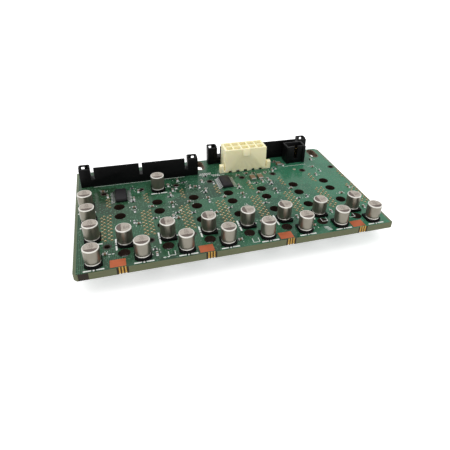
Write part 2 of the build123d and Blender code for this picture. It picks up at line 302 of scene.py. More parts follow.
def add_drill(left, front, diameter, stretch=0.0):
    """A round cutter through the board, drawn out along Y by a stretch to each side."""
    x, y = on_board(left, front)
    drill = add_cylinder(x, y, board_middle, diameter, drill_length, drill_sides)
    for side in (-1, 1):
        if stretch:
            pick(drill, "VERT", lambda vertex: (vertex.co.y - y) * side > 0)
            bpy.ops.transform.translate(value=(0, side * stretch * millimetre, 0))
            bpy.ops.object.mode_set(mode="OBJECT")
    return drill


def cut_out(piece, cutter):
    """Takes one piece's shape out of another and removes the cutter."""
    bpy.context.view_layer.objects.active = piece
    cutting = piece.modifiers.new("cutting", "BOOLEAN")
    cutting.object = cutter
    cutting.operation = "DIFFERENCE"
    cutting.solver = "EXACT"
    bpy.ops.object.modifier_apply(modifier=cutting.name)
    bpy.data.objects.remove(cutter)


def edge_midpoint(mesh, edge):
    """The middle of an edge."""
    first, last = (mesh.vertices[index].co for index in edge.vertices)
    return (first + last) / 2


board = add_block("board_plate", board_low, board_high)
for corner_x, corner_y, cut in (
    (board_low.x, board_low.y, front_corner_cut),
    (board_high.x, board_high.y, rear_corner_cut),
):
    pick(
        board,
        "EDGE",
        lambda edge: (edge_midpoint(board.data, edge).xy - Vector((corner_x, corner_y))).length
        < cut * millimetre / 2
        and abs(edge_midpoint(board.data, edge).z - board_middle) < board_thickness / 4,
    )
    bpy.ops.mesh.bevel(offset=cut * millimetre, segments=1, affect="EDGES")
    bpy.ops.object.mode_set(mode="OBJECT")

drills = [
    add_drill(bay_inset(bay, airflow_offset), inset, airflow_diameter)
    for bay in range(bay_count - 1)
    for inset in airflow_row_insets
]
drills += [
    add_drill(bay_inset(bay), inset, peg_hole_diameter)
    for bay in range(bay_count)
    for inset in peg_insets
]
drills += [add_drill(left, front, slot_width, slot_stretch) for left, front in slot_insets]
drills += [
    add_drill(bay_inset(bay, offset), 0.0, half_hole_diameter)
    for bay in half_hole_bays
    for offset in half_hole_offsets
]
cut_out(board, join_pieces("drill", drills))
# The first run is a dark patch on the front edge near its left corner; like the plated runs, it takes
# the dark edge plating.
edge_runs = [front_left_dark_insets]
edge_runs += [
    tuple(bay_inset(bay, offset) for offset in edge_plating_offsets) for bay in half_hole_bays
]
for inset in (inset for run in edge_runs for inset in run):
    x, y = on_board(inset, 0.0)
    pick(board, "FACE", lambda face: face.normal.y < -0.99 and face.center.y - y < millimetre / 10)
    bpy.ops.mesh.bisect(plane_co=(x, y, 0), plane_no=(1, 0, 0))
    bpy.ops.object.mode_set(mode="OBJECT")


def new_finish(name, values):
    """A material, with the plain values of its shader set on the shader's own sockets."""
    finish = bpy.data.materials.new(name)
    finish.use_nodes = True
    shader = finish.node_tree.nodes["Principled BSDF"]
    for socket, value in values.items():
        shader.inputs[socket].default_value = value
    return finish


def paint(finish, colour, height, depth):
    """Gives a material its colour, and a relief from a height over a depth in millimetres."""
    tree = finish.node_tree
    shader = tree.nodes["Principled BSDF"]
    tree.links.new(colour, shader.inputs["Base Color"])
    bump = add_node(tree, "ShaderNodeBump", {"Height": height, "Distance": depth * millimetre})
    tree.links.new(bump.outputs["Normal"], shader.inputs["Normal"])
    return finish


def colour_mix(tree, factor, first, second):
    """A colour between two, by a factor."""
    return add_node(
        tree, "ShaderNodeMix", {0: factor, 6: first, 7: second}, data_type="RGBA"
    ).outputs[2]


def make_mottle():
    """The shared group for a colour that wanders between two shades, with a fine relief."""
    group = bpy.data.node_groups.new("mottle", "ShaderNodeTree")
    for label, way, kind in (
        ("Shade", "INPUT", "Color"),
        ("Other Shade", "INPUT", "Color"),
        ("Patches per mm", "INPUT", "Float"),
        ("Grains per mm", "INPUT", "Float"),
        ("Color", "OUTPUT", "Color"),
        ("Relief", "OUTPUT", "Float"),
    ):
        group.interface.new_socket(label, in_out=way, socket_type=f"NodeSocket{kind}")
    given = add_node(group, "NodeGroupInput")
    place = in_millimetres(group)
    patches = add_node(
        group,
        "ShaderNodeTexNoise",
        {"Vector": place, "Scale": given.outputs["Patches per mm"], "Detail": 3.0},
    )
    grains = add_node(
        group,
        "ShaderNodeTexNoise",
        {"Vector": place, "Scale": given.outputs["Grains per mm"], "Detail": 2.0},
    )
    shade = colour_mix(
        group, patches.outputs["Fac"], given.outputs["Shade"], given.outputs["Other Shade"]
    )
    add_node(group, "NodeGroupOutput", {"Color": shade, "Relief": grains.outputs["Fac"]})
    return group


mottle = make_mottle()


def mottled_finish(name, shade, other, patches, grains, relief, values):
    """A material that wanders between two shades, with a fine relief of a depth in millimetres."""
    finish = new_finish(name, values)
    effect = add_node(
        finish.node_tree,
        "ShaderNodeGroup",
        {
            "Shade": (*shade, 1.0),
            "Other Shade": (*other, 1.0),
            "Patches per mm": patches,
            "Grains per mm": grains,
        },
        node_tree=mottle,
    )
    return paint(finish, effect.outputs["Color"], effect.outputs["Relief"], relief)


mask_shade = (0.007, 0.058, 0.030, 1.0)
plane_shade = (0.028, 0.132, 0.070, 1.0)
trace_shade = (0.052, 0.185, 0.105, 1.0)
# Painted reflection shades: dull olive for the left of the mask, clear bright green for the right.
dim_reflection_shade = (0.030, 0.046, 0.020, 1.0)
bright_reflection_shade = (0.036, 0.195, 0.108, 1.0)
fleck_shade = (0.14, 0.26, 0.17, 1.0)
via_shade = (0.045, 0.040, 0.018, 1.0)
strip_shade = (0.120, 0.150, 0.085, 1.0)

plane_cells_per_mm = 0.085
plane_jitter = 0.9
bare_chance = 0.45
traceless_chance = 0.5
straight_chance = 0.6
traces_per_mm = 1.55
trace_fill = 0.42
trace_tint = 0.55
wander_per_mm = 0.12
wander_tint = 0.5
# Painted reflection fades across X: where each starts and ends, in millimetres, and how strong it
# gets.
dim_reflection_fade = (30.0, -62.0, 0.62)
bright_reflection_fade = (20.0, 64.0, 0.75)
via_cells_per_mm = 0.62
via_jitter = 0.85
no_via_chance = 0.45
via_ring_reach = 0.24
via_ring_tint = 0.7
via_hole_reach = 0.12
via_hole_tint = 0.9
fleck_cells_per_mm = 1.15
no_fleck_chance = 0.78
fleck_reach = 0.26
fleck_tint = 0.6
trace_relief = 0.02
layer_scale = (0.35, 0.35, 7.0)
layer_shades = ((0.068, 0.078, 0.032, 1.0), (0.150, 0.162, 0.078, 1.0))
layer_relief = 0.05


def make_solder_mask():
    """Green mask over copper planes, runs of traces and vias, with bare strips at the sides, and a
    painted reflection that is duller to the left and brighter to the right.
    """
    finish = new_finish("solder_mask", {"Roughness": 0.16, "Specular IOR Level": 0.27})
    tree = finish.node_tree
    place = in_millimetres(tree)
    axes = add_node(tree, "ShaderNodeSeparateXYZ", {0: place})
    x, y = axes.outputs["X"], axes.outputs["Y"]

    def above(value, limit):
        return arithmetic(tree, "GREATER_THAN", value, limit)

    def below(value, limit):
        return arithmetic(tree, "LESS_THAN", value, limit)

    def product(first, second):
        return arithmetic(tree, "MULTIPLY", first, second)

    def tinted(ground, mask, tint, shade):
        return colour_mix(tree, product(mask, tint), ground, shade)

    def cells(per_mm, jitter, distance="EUCLIDEAN"):
        made = add_node(
            tree,
            "ShaderNodeTexVoronoi",
            {"Vector": place, "Scale": per_mm, "Randomness": jitter},
            voronoi_dimensions="2D",
            distance=distance,
        )
        chances = add_node(tree, "ShaderNodeSeparateColor", {0: made.outputs["Color"]})
        return made.outputs["Distance"], chances.outputs

    _, plane_chances = cells(plane_cells_per_mm, plane_jitter, "CHEBYCHEV")
    slanting = above(plane_chances[2], straight_chance)
    across = arithmetic(tree, "MULTIPLY_ADD", y, slanting, x)
    trace_phase = arithmetic(tree, "FRACT", product(across, traces_per_mm))
    trace = product(below(trace_phase, trace_fill), above(plane_chances[1], traceless_chance))
    wander = add_node(
        tree, "ShaderNodeTexNoise", {"Vector": place, "Scale": wander_per_mm, "Detail": 2.0}
    )
    ground = colour_mix(tree, above(plane_chances[0], bare_chance), mask_shade, plane_shade)
    ground = tinted(ground, wander.outputs["Fac"], wander_tint, mask_shade)
    # Painted reflection: the mask turns duller towards the left and brighter towards the right.
    for (start, end, amount), shade in ((dim_reflection_fade, dim_reflection_shade), (bright_reflection_fade, bright_reflection_shade)):
        fade = add_node(tree, "ShaderNodeMapRange", {0: x, 1: start, 2: end, 3: 0.0, 4: amount})
        ground = colour_mix(tree, fade.outputs[0], ground, shade)
    ground = tinted(ground, trace, trace_tint, trace_shade)
    via_distance, via_chances = cells(via_cells_per_mm, via_jitter)
    via_here = above(via_chances[0], no_via_chance)
    via_ring = product(below(via_distance, via_ring_reach), via_here)
    via_hole = product(below(via_distance, via_hole_reach), via_here)
    ground = tinted(ground, via_ring, via_ring_tint, trace_shade)
    ground = tinted(ground, via_hole, via_hole_tint, via_shade)
    fleck_distance, fleck_chances = cells(fleck_cells_per_mm, 1.0)
    fleck = product(below(fleck_distance, fleck_reach), above(fleck_chances[1], no_fleck_chance))
    ground = tinted(ground, fleck, fleck_tint, fleck_shade)
    at_side = above(arithmetic(tree, "ABSOLUTE", x), board_high.x / millimetre - bare_strip)
    whole = colour_mix(tree, at_side, ground, strip_shade)
    return paint(finish, whole, arithmetic(tree, "ADD", trace, via_ring), trace_relief)


def make_laminate_edge():
    """Routed laminate: olive resin with the glass layers as fine level lines."""
    finish = new_finish("laminate_edge", {"Roughness": 0.62})
    tree = finish.node_tree
    flat = add_node(
        tree,
        "ShaderNodeVectorMath",
        {0: in_millimetres(tree), 1: layer_scale},
        operation="MULTIPLY",
    )
    layers = add_node(
        tree, "ShaderNodeTexNoise", {"Vector": flat.outputs[0], "Scale": 1.0, "Detail": 4.0}
    ).outputs["Fac"]
    return paint(finish, colour_mix(tree, layers, *layer_shades), layers, layer_relief)


solder_mask = make_solder_mask()
laminate_edge = make_laminate_edge()
# Painted shade: the walls of the round holes are a dark brown copy of the laminate, for the shade
# inside them.
drill_wall_shade = mottled_finish(
    "drill_wall_shade", (0.040, 0.020, 0.012), (0.020, 0.011, 0.008), 0.8, 6.0, 0.03,
    {"Roughness": 0.8, "Specular IOR Level": 0.2},
)
gold_plating = mottled_finish(
    "gold_plating", (0.52, 0.34, 0.10), (0.36, 0.22, 0.06), 1.1, 9.0, 0.004,
    {"Roughness": 0.32, "Metallic": 1.0},
)
edge_plating = mottled_finish(
    "edge_plating", (0.024, 0.017, 0.009), (0.013, 0.010, 0.007), 1.4, 7.0, 0.01,
    {"Roughness": 0.5, "Specular IOR Level": 0.2},
)
slot_plating = mottled_finish(
    "slot_plating", (0.420, 0.250, 0.165), (0.230, 0.130, 0.085), 0.7, 6.0, 0.02, {"Roughness": 0.6}
)
board.data.materials.clear()
board_finishes = (
    solder_mask, laminate_edge, drill_wall_shade, gold_plating, edge_plating, slot_plating
)
for finish in board_finishes:
    board.data.materials.append(finish)
slot_middles = [Vector(on_board(left, front)) for left, front in slot_insets]
plated_runs = [tuple(on_board(inset, 0.0)[0] for inset in run) for run in edge_runs]
edge_margin = 0.02 * millimetre
slot_wall_reach = 1.5 * slot_width * millimetre
for face in board.data.polygons:
    middle = face.center
    near_front = middle.y - board_low.y < 0.6 * half_hole_diameter * millimetre
    on_outline = (
        abs(face.normal.x) > 0.99
        and min(middle.x - board_low.x, board_high.x - middle.x) < edge_margin
        or abs(face.normal.y) > 0.99
        and min(middle.y - board_low.y, board_high.y - middle.y) < edge_margin
        or abs(abs(face.normal.x) - abs(face.normal.y)) < 0.01
        and min(middle.x - board_low.x, board_high.x - middle.x) < rear_corner_cut * millimetre
    )
    on_run = any(first < middle.x < last for first, last in plated_runs)
    if abs(face.normal.z) > 0.9:
        finish = solder_mask
    elif on_outline and on_run and middle.y < 0:
        finish = edge_plating
    elif on_outline:
        finish = laminate_edge
    elif min((middle.xy - slot).length for slot in slot_middles) < slot_wall_reach:
        finish = slot_plating
    elif near_front:
        finish = gold_plating
    else:
        finish = drill_wall_shade
    face.material_index = board_finishes.index(finish)
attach(board, "root")
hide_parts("board")

# Copper: four bare polished pads along the front edge and a bare ring round
# each mounting slot. A dark ring round each peg hole is a bare ring painted
# with the hole's shade. The copper is etched from the board's outer layer and
# stands a hair proud.
copper_height = 0.06 * millimetre
pad_offset = 3.5
pad_width = 5.9
pad_front_inset = 0.7
pad_depth = 4.3
ring_width = 0.55
peg_ring_diameter = 3.5
peg_ring_height = 0.02 * millimetre
peg_ring_sides = 32
slot_ring_margin = 0.1 * millimetre


def round_corners(piece, radius):
    """Rounds a piece's sharp edges, in millimetres, with a bevel that is applied to its mesh."""
    choose(piece)
    rounding = piece.modifiers.new("rounding", "BEVEL")
    rounding.width = radius * millimetre
    rounding.segments = 2
    rounding.limit_method = "ANGLE"
    rounding.angle_limit = math.radians(40)
    bpy.ops.object.modifier_apply(modifier=rounding.name)


def add_plate(name, left, front, width, depth, height):
    """A thin plate that lies on the board, from the insets of its front left corner."""
    x, y = on_board(left, front)
    return add_block(
        name,
        (x, y, board_top),
        (x + width * millimetre, y + depth * millimetre, board_top + height),
    )


bare_copper = mottled_finish(
    "bare_copper", (0.560, 0.150, 0.064), (0.420, 0.105, 0.042), 0.35, 5.0, 0.006,
    {"Roughness": 0.42, "Metallic": 0.5, "Specular IOR Level": 0.2},
)
pads = []
for bay in half_hole_bays:
    left = bay_inset(bay, pad_offset - pad_width / 2)
    pads.append(add_plate("pad", left, pad_front_inset, pad_width, pad_depth, copper_height))
copper_pads = join_pieces("copper_pads", pads)
round_corners(copper_pads, 0.025)
copper_pads.data.materials.append(bare_copper)
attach(copper_pads, "root")


def add_slot_ring(left, front):
    """A ring of bare copper round a mounting slot, kept inside the board's outline."""
    x, y = on_board(left, front)
    ring = add_drill(left, front, slot_width + 2 * ring_width, slot_stretch)
    for side in (-1, 1):
        level = board_top + (1 + side) * copper_height / 2
        pick(ring, "VERT", lambda vertex: (vertex.co.z - board_middle) * side > 0)
        bpy.ops.transform.translate(
            value=(0, 0, level - board_middle - side * drill_length / 2)
        )
        bpy.ops.object.mode_set(mode="OBJECT")
    cut_out(ring, add_drill(left, front, slot_width, slot_stretch))
    pick(ring, "VERT", lambda vertex: True)
    bpy.ops.mesh.bisect(
        plane_co=(x, board_high.y - slot_ring_margin, 0),
        plane_no=(0, 1, 0),
        use_fill=True,
        clear_outer=True,
    )
    bpy.ops.object.mode_set(mode="OBJECT")
    return ring


slot_rings = join_pieces("slot_rings", [add_slot_ring(left, front) for left, front in slot_insets])
slot_copper = mottled_finish(
    "slot_copper", (0.150, 0.115, 0.075), (0.090, 0.105, 0.065), 0.6, 5.0, 0.006,
    {"Roughness": 0.45, "Metallic": 0.4},
)
slot_rings.data.materials.append(slot_copper)
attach(slot_rings, "root")

peg_shade_rings = []
for bay in range(bay_count):
    for inset in peg_insets:
        x, y = on_board(bay_inset(bay), inset)
        middle = board_top + peg_ring_height / 2
        ring = add_cylinder(
            x, y, middle, peg_ring_diameter, peg_ring_height, peg_ring_sides
        )
        cut_out(ring, add_drill(bay_inset(bay), inset, peg_hole_diameter))
        peg_shade_rings.append(ring)
peg_shade_rings = join_pieces("peg_shade_rings", peg_shade_rings)
# Painted shade: a near-black finish for the rings round the peg holes and the plates in the power
# connector's drains.
painted_hollow_shade = mottled_finish(
    "painted_hollow_shade", (0.030, 0.028, 0.016), (0.016, 0.018, 0.010), 0.9, 7.0, 0.01, {"Roughness": 0.6}
)
peg_shade_rings.data.materials.append(painted_hollow_shade)
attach(peg_shade_rings, "root")

# Drive receptacles: eight black mouldings under the board, one for each bay,
# with two keyed slots for a drive's contacts. Their edges are softened as
# mould corners are.
receptacle_softness = 0.12


def softened(node, name, radius, finish):
    """A copy of a CAD node with flat faces rebuilt and its corners rounded, in millimetres."""
    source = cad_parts[node]
    piece = source.copy()
    piece.data = source.data.copy()
    piece.name = name
    bpy.context.scene.collection.objects.link(piece)
    piece.parent = None
    piece.matrix_world = Matrix.Identity(4)
    choose(piece)
    bpy.ops.mesh.customdata_custom_splitnormals_clear()
    bpy.ops.object.mode_set(mode="EDIT")
    bpy.ops.mesh.select_all(action="SELECT")
    bpy.ops.mesh.remove_doubles(threshold=0.001 * millimetre)
    bpy.ops.mesh.dissolve_limited(angle_limit=math.radians(1))
    bpy.ops.object.mode_set(mode="OBJECT")
    round_corners(piece, radius)
    bpy.ops.object.shade_smooth_by_angle(angle=math.radians(35))
    piece.data.materials.clear()
    piece.data.materials.append(finish)
    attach(piece, "root")
    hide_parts(node)
    return piece


receptacle_black = mottled_finish(
    "receptacle_black", (0.012, 0.012, 0.013), (0.022, 0.022, 0.024), 0.4, 7.0, 0.02,
    {"Roughness": 0.45, "Specular IOR Level": 0.3},
)
contact_gold = mottled_finish(
    "contact_gold", (0.85, 0.58, 0.20), (0.72, 0.46, 0.15), 0.9, 8.0, 0.004,
    {"Roughness": 0.24, "Metallic": 1.0},
)
for bay in range(1, bay_count + 1):
    receptacle = softened(
        f"drive_receptacle_{bay}",
        f"receptacle_moulding_{bay}",
        receptacle_softness,
        receptacle_black,
    )
    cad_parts[f"drive_contacts_{bay}"].material_slots[0].material = contact_gold

# Contact tails: the receptacles' contacts come up through plated holes, two
# staggered rows for power and one for the signals. Each hole shows a gold
# ring round a dark bore, a shallow disc painted with the hole's shade, with
# the tip of its tail inside.
tail_ring_diameter = 1.16
tail_bore_diameter = 0.74
tail_bore_floor = 0.01 * millimetre
tail_tip_diameter = 0.50
tail_tip_rise = 0.28
tail_sides = 14
tail_zigzag = 0.52
contact_pitch = 1.27
tail_rows = ((-1.1, 17.7, 15), (1.5, 17.7, 15), (1.6, 42.4, 7))


def copy_to(model, places, turn=0.0):
    """Copies of a model, each with its own mesh, turned and moved to a place in X and Y."""
    copies = []
    for x, y in places:
        copied = model.copy()
        copied.data = model.data.copy()
        copied.data.transform(Matrix.Translation((x, y, 0)) @ Matrix.Rotation(turn, 4, "Z"))
        bpy.context.scene.collection.objects.link(copied)
        copies.append(copied)
    return copies


def repeated(name, model, places):
    """A model's copies at their places, joined into one piece, with the model removed."""
    piece = join_pieces(name, copy_to(model, places))
    bpy.data.objects.remove(model)
    return piece


def facing_up(level):
    """A test for the faces that look up at a level."""
    return lambda face: face.normal.z > 0.9 and abs(face.center.z - level) < 0.002 * millimetre


def inset_face(piece, level, thickness, rise, finish):
    """Insets the top face at a level, raises or sinks what is inside, and gives it a finish."""
    pick(piece, "FACE", facing_up(level))
    bpy.ops.mesh.inset(thickness=thickness * millimetre)
    bpy.ops.mesh.extrude_region_move(TRANSFORM_OT_translate={"value": (0, 0, rise * millimetre)})
    piece.active_material_index = piece.data.materials.find(finish.name)
    bpy.ops.object.material_slot_assign()
    bpy.ops.object.mode_set(mode="OBJECT")


ring_level = board_top + copper_height
tail = add_cylinder(
    0, 0, board_top + copper_height / 2, tail_ring_diameter, copper_height, tail_sides
)
# Painted shade: the dark bore stands for the shadowed inside of the hole.
tail_bore_shade = mottled_finish(
    "tail_bore_shade", (0.05, 0.033, 0.018), (0.09, 0.06, 0.03), 1.5, 6.0, 0.01, {"Roughness": 0.7}
)
tail_tip = mottled_finish(
    "tail_tip", (0.92, 0.80, 0.54), (0.72, 0.58, 0.34), 1.7, 8.0, 0.004,
    {"Roughness": 0.3, "Metallic": 0.7},
)
tail_ring = mottled_finish(
    "tail_ring", (0.420, 0.320, 0.140), (0.210, 0.175, 0.080), 1.3, 8.0, 0.004,
    {"Roughness": 0.35, "Metallic": 0.6},
)
for finish in (tail_ring, tail_bore_shade, tail_tip):
    tail.data.materials.append(finish)
bore_level = board_top + tail_bore_floor
bore_depth = (bore_level - ring_level) / millimetre
tail_ring_width = (tail_ring_diameter - tail_bore_diameter) / 2
tail_bore_width = (tail_bore_diameter - tail_tip_diameter) / 2
inset_face(tail, ring_level, tail_ring_width, bore_depth, tail_bore_shade)
inset_face(tail, bore_level, tail_bore_width, tail_tip_rise, tail_tip)
tail_places = [
    on_board(bay_inset(bay, offset + (-1) ** step * tail_zigzag), front + step * contact_pitch)
    for bay in range(bay_count)
    for offset, front, count in tail_rows
    for step in range(count)
]
contact_tails = repeated("contact_tails", tail, tail_places)
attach(contact_tails, "root")

# Aluminium capacitors: a can drawn from thin aluminium, rolled in above its
# foot and crimped over its rubber plug, on a black moulded base. The dark
# half moon printed on its top marks the minus side, beside plain numbers.
can_node_low, can_node_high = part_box("front_row_capacitor_can_1")
can_foot = can_node_low.z
can_top = can_node_high.z
can_sides = 56
can_profile = (
    (2.78, 0.0), (2.93, 0.14), (2.95, 0.34), (2.84, 0.55), (2.82, 0.85),
    (2.90, 1.05), (3.08, 1.25), (3.14, 1.45), (3.15, 1.70), (3.15, 6.52),
    (3.13, 6.68), (3.07, 6.80), (2.98, 6.87), (2.88, 6.90),
)
can_rim_inset = 0.13
can_rim_drop = -0.08
# Heights between which the can keeps its own metal; below and above them the metal is painted as a
# highlight.
highlight_limits = (0.45, 6.5)
half_moon_edge = -1.0
number_rows = ("22", "100", "16")
number_size = 1.5
number_top = 1.15
number_spacing = 1.3
print_height = 0.012 * millimetre


def turned_piece(name, profile, base_height, sides):
    """A closed round piece raised ring by ring from a disc, from radii and heights in millimetres."""
    radius, height = profile[0]
    bpy.ops.object.select_all(action="DESELECT")
    bpy.ops.mesh.primitive_circle_add(
        vertices=sides,
        radius=radius * millimetre,
        fill_type="NGON",
        location=(0, 0, base_height + height * millimetre),
    )
    bpy.ops.object.transform_apply(location=True, rotation=True, scale=True)
    made = bpy.context.object
    made.name = name
    bpy.ops.object.mode_set(mode="EDIT")
    bpy.ops.mesh.select_mode(type="FACE")
    bpy.ops.mesh.select_all(action="SELECT")
    for next_radius, next_height in profile[1:]:
        bpy.ops.mesh.extrude_region_move(
            TRANSFORM_OT_translate={"value": (0, 0, (next_height - height) * millimetre)}
        )
        scale = next_radius / radius
        bpy.ops.transform.resize(
            value=(scale, scale, 1),
            center_override=(0, 0, base_height + next_height * millimetre),
        )
        radius, height = next_radius, next_height
    bpy.ops.object.mode_set(mode="OBJECT")
    pick(made, "FACE", lambda face: True)
    bpy.ops.mesh.normals_make_consistent(inside=False)
    bpy.ops.object.mode_set(mode="OBJECT")
    return made


can_aluminium = mottled_finish(
    "can_aluminium", (0.265, 0.245, 0.200), (0.195, 0.182, 0.148), 0.5, 4.0, 0.010,
    {"Roughness": 0.32, "Metallic": 0.85},
)
# Painted highlight: a light copy of the can's metal for its foot and its rolled top edge.
can_edge_highlight = mottled_finish(
    "can_edge_highlight", (0.82, 0.80, 0.74), (0.66, 0.64, 0.59), 0.8, 5.0, 0.006,
    {"Roughness": 0.3, "Metallic": 0.6},
)
can_face = mottled_finish(
    "can_face", (0.520, 0.465, 0.400), (0.270, 0.235, 0.200), 1.1, 6.0, 0.008,
    {"Roughness": 0.42, "Metallic": 0.25},
)
print_dark = mottled_finish(
    "print_dark", (0.085, 0.060, 0.048), (0.140, 0.105, 0.085), 1.2, 8.0, 0.004, {"Roughness": 0.5}
)
can = turned_piece("can_model", can_profile, can_foot, can_sides)
can_finishes = (can_aluminium, can_face, print_dark, can_edge_highlight)
for finish in can_finishes:
    can.data.materials.append(finish)
# The foot and the top rim take the painted highlight.
for face in can.data.polygons:
    above_foot = (face.center.z - can_foot) / millimetre
    if not highlight_limits[0] < above_foot < highlight_limits[1]:
        face.material_index = can_finishes.index(can_edge_highlight)
inset_face(can, can_top, can_rim_inset, can_rim_drop, can_face)
face_level = can_top + can_rim_drop * millimetre
pick(can, "FACE", facing_up(face_level))
bpy.ops.mesh.bisect(plane_co=(0, half_moon_edge * millimetre, 0), plane_no=(0, 1, 0))
bpy.ops.object.mode_set(mode="OBJECT")
for face in can.data.polygons:
    if facing_up(face_level)(face) and face.center.y < half_moon_edge * millimetre:
        face.material_index = can_finishes.index(print_dark)
bpy.ops.object.shade_smooth_by_angle(angle=math.radians(30))

numbers = []
for row, digits in enumerate(number_rows):
    bpy.ops.object.select_all(action="DESELECT")
    bpy.ops.object.text_add(
        location=(
            0, (number_top - number_spacing * row) * millimetre, face_level + print_height / 2
        )
    )
    number = bpy.context.object
    number.data.body = digits
    number.data.size = number_size * millimetre
    number.data.align_x = "CENTER"
    number.data.extrude = print_height / 2
    number.data.resolution_u = 3
    bpy.ops.object.convert(target="MESH")
    bpy.ops.object.transform_apply(location=True, rotation=True, scale=True)
    number.data.materials.clear()
    number.data.materials.append(print_dark)
    numbers.append(number)
can = join_pieces("can_model", [can, *numbers])

can_groups = {
    "front_row": (bay_count, 0.0),
    "second_row": (bay_count - 1, -math.pi / 2),
    "side_column": (3, 0.0),
    "rear": (1, 0.0),
}
can_places = {}
for group, (count, turn) in can_groups.items():
    for number in range(1, count + 1):
        node = f"{group}_capacitor_can_{number}"
        node_low, node_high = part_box(node)
        place = ((node_low.x + node_high.x) / 2, (node_low.y + node_high.y) / 2)
        can_places.setdefault(group, []).append(place)
        drawn_can = copy_to(can, [place], turn)[0]
        drawn_can.name = f"{group}_drawn_can_{number}"
        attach(drawn_can, "root")
        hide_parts(node)
bpy.data.objects.remove(can)

base_black = mottled_finish(
    "base_black", (0.0025, 0.0025, 0.0025), (0.0050, 0.0048, 0.0045), 0.5, 7.0, 0.02,
    {"Roughness": 0.5, "Specular IOR Level": 0.06},
)
for group in can_groups:
    bases = softened(f"{group}_capacitor_bases", f"{group}_moulded_bases", 0.16, base_black)

# Capacitor terminals: a flat tinned tab comes out from under the base at two
# sides, and is soldered down to the board.
tab_width = 0.75
tab_reach = 0.85
tab_height = 0.32
tab_root = 0.3
tab_toe_slide = 0.35
tab_toe_drop = 0.12
base_half = 3.3

tin_solder = mottled_finish(
    "tin_solder", (0.70, 0.70, 0.69), (0.52, 0.52, 0.51), 1.6, 5.0, 0.02,
    {"Roughness": 0.28, "Metallic": 1.0},
)
tab_pair = []
half_width = tab_width / 2 * millimetre
for side in (-1, 1):
    tab = add_block(
        "tab",
        (-half_width, side * (base_half - tab_root) * millimetre, board_top),
        (half_width, side * (base_half + tab_reach) * millimetre, board_top + tab_height * millimetre),
    )
    pick(
        tab,
        "VERT",
        lambda vertex: vertex.co.z > board_top + tab_height * millimetre / 2
        and abs(vertex.co.y) > base_half * millimetre,
    )
    bpy.ops.transform.translate(
        value=(0, -side * tab_toe_slide * millimetre, -tab_toe_drop * millimetre)
    )
    bpy.ops.object.mode_set(mode="OBJECT")
    tab_pair.append(tab)
tab_model = join_pieces("tab_model", tab_pair)
round_corners(tab_model, 0.06)
bpy.ops.object.shade_smooth_by_angle(angle=math.radians(40))
tab_model.data.materials.append(tin_solder)
tabs = []
for group, (_, turn) in can_groups.items():
    tabs += copy_to(tab_model, can_places[group], turn)
capacitor_tabs = join_pieces("capacitor_tabs", tabs)
bpy.data.objects.remove(tab_model)
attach(capacitor_tabs, "root")

# Data connectors: two long black mouldings with a latch post at each end and
# two upright blades, whose rear sides carry a row of gold contacts.
data_softness = 0.14
data_base_height = 3.8
blade_thickness = 1.1
blade_gap = 1.4
post_width = 5.1
post_gap = 1.6
blade_contact_count = 15
blade_contact_width = 0.55
blade_contact_height = 4.6
blade_contact_thickness = 0.1


def spread(middle, count, pitch):
    """Places in a row at a pitch in millimetres, centred on a middle."""
    return [middle + (step - (count - 1) / 2) * pitch * millimetre for step in range(count)]


connector_black = mottled_finish(
    "connector_black", (0.0022, 0.0023, 0.0024), (0.0045, 0.0045, 0.0050), 0.3, 6.0, 0.02,
    {"Roughness": 0.4, "Specular IOR Level": 0.12},
)
for side in ("left", "right"):
    moulding = softened(
        f"data_connector_{side}", f"data_moulding_{side}", data_softness, connector_black
    )

for side in ("left", "right"):
    low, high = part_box(f"data_connector_{side}")
    middle_x = (low.x + high.x) / 2
    run = (high.x - low.x) / millimetre - 2 * post_width - 2 * post_gap - blade_gap
    rear_y = low.y + blade_thickness * millimetre
    strip_rear_y = rear_y + blade_contact_thickness * millimetre
    foot_z = board_top + data_base_height * millimetre
    strip_top = foot_z + blade_contact_height * millimetre
    half_width = blade_contact_width / 2 * millimetre
    strips = []
    for way in (-1, 1):
        blade_x = middle_x + way * (blade_gap / 2 + run / 4) * millimetre
        for x in spread(blade_x, blade_contact_count, contact_pitch):
            corner = (x - half_width, rear_y, foot_z)
            strips.append(add_block("strip", corner, (x + half_width, strip_rear_y, strip_top)))
    blade_contacts = join_pieces(f"data_contacts_{side}", strips)
    round_corners(blade_contacts, 0.03)
    blade_contacts.data.materials.append(contact_gold)
    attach(blade_contacts, "root")

# Power connector: one moulding of natural nylon, cream and slightly clear, with
# ten deep cavities, a latch ramp and a pegged ear at each end. Tinned pins
# stand in the cavities, and a dark plate on the board in each drain paints the
# shade inside it.
power_columns = 5
circuit_pitch = 4.2
power_left_inset = 73.9
power_front_inset = 61.2
power_length = 22.4
drain_width = 1.7
drain_depth = 3.9
drain_front_gap = 0.05
drain_shade_height = 0.03 * millimetre

nylon = mottled_finish(
    "natural_nylon", (0.97, 0.90, 0.60), (0.92, 0.84, 0.53), 0.25, 5.0, 0.012,
    {
        "Roughness": 0.42,
        "Subsurface Weight": 0.35,
        "Subsurface Radius": (0.0012, 0.0010, 0.0006),
        "Subsurface Scale": 1.0,
    },
)
power_moulding = softened("power_connector", "power_moulding", 0.1, nylon)
tin_plating = mottled_finish(
    "tin_plating", (0.68, 0.68, 0.67), (0.58, 0.58, 0.57), 1.0, 8.0, 0.004,
    {"Roughness": 0.3, "Metallic": 1.0},
)
# Painted shadow: a thin dark plate on the board in each drain.
drain_shades = []
for column in range(power_columns):
    left = power_left_inset + power_length / 2 + (column - (power_columns - 1) / 2) * circuit_pitch
    drain_shades.append(
        add_plate(
            "drain_shade",
            left - drain_width / 2,
            power_front_inset + drain_front_gap,
            drain_width,
            drain_depth,
            drain_shade_height,
        )
    )
drain_shades = join_pieces("drain_shades", drain_shades)
drain_shades.data.materials.append(painted_hollow_shade)
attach(drain_shades, "root")

